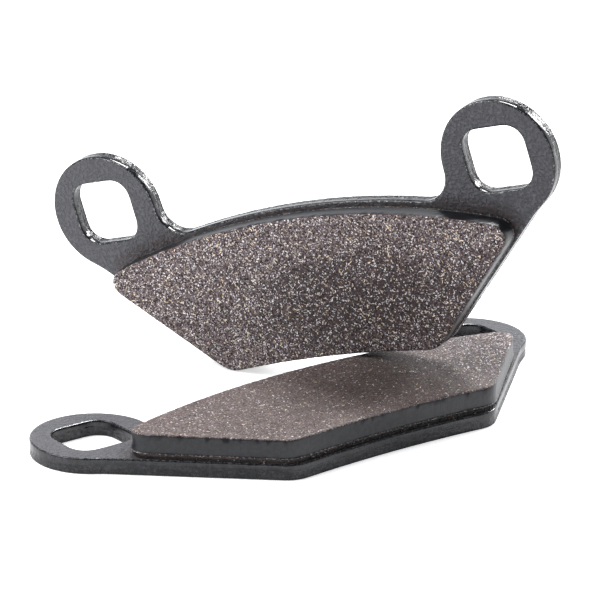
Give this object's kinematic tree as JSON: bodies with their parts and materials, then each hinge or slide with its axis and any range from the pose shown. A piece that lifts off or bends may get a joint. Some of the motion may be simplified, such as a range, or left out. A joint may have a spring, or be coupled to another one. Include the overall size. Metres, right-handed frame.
{
  "type": "disc brake pad set",
  "caption": "Matched flat disc brake pads with an ear and a guide hole at each end; one lies face up and the other leans on it.",
  "frame": {"origin": "middle of the lying pad's back face, on the surface that it lies on", "axes": "+X from ear to ear of the lying pad, +Y from its friction block towards its ears, +Z out of its friction face, upwards"},
  "size_m": [0.109, 0.0976, 0.0611],
  "materials": {
    "backing_plate": "satin charcoal paint on stamped steel, worn bright on the sheared rims",
    "underlayer": "rough cured resin compound",
    "friction_block": "moulded friction compound with metal flecks on a ground face, thin dark paint on its sides"
  },
  "bodies": {
    "lying_pad": {"lower_backing_plate": "backing_plate", "lower_underlayer": "underlayer", "lower_friction_block": "friction_block"},
    "leaning_pad": {"upper_backing_plate": "backing_plate", "upper_underlayer": "underlayer", "upper_friction_block": "friction_block"}
  },
  "joints": [
    {"name": "leaning_pad_lift", "type": "slide", "parent": "lying_pad", "child": "leaning_pad", "axis": [0, 0, 1], "range_m": [0, 0.06]}
  ]
}
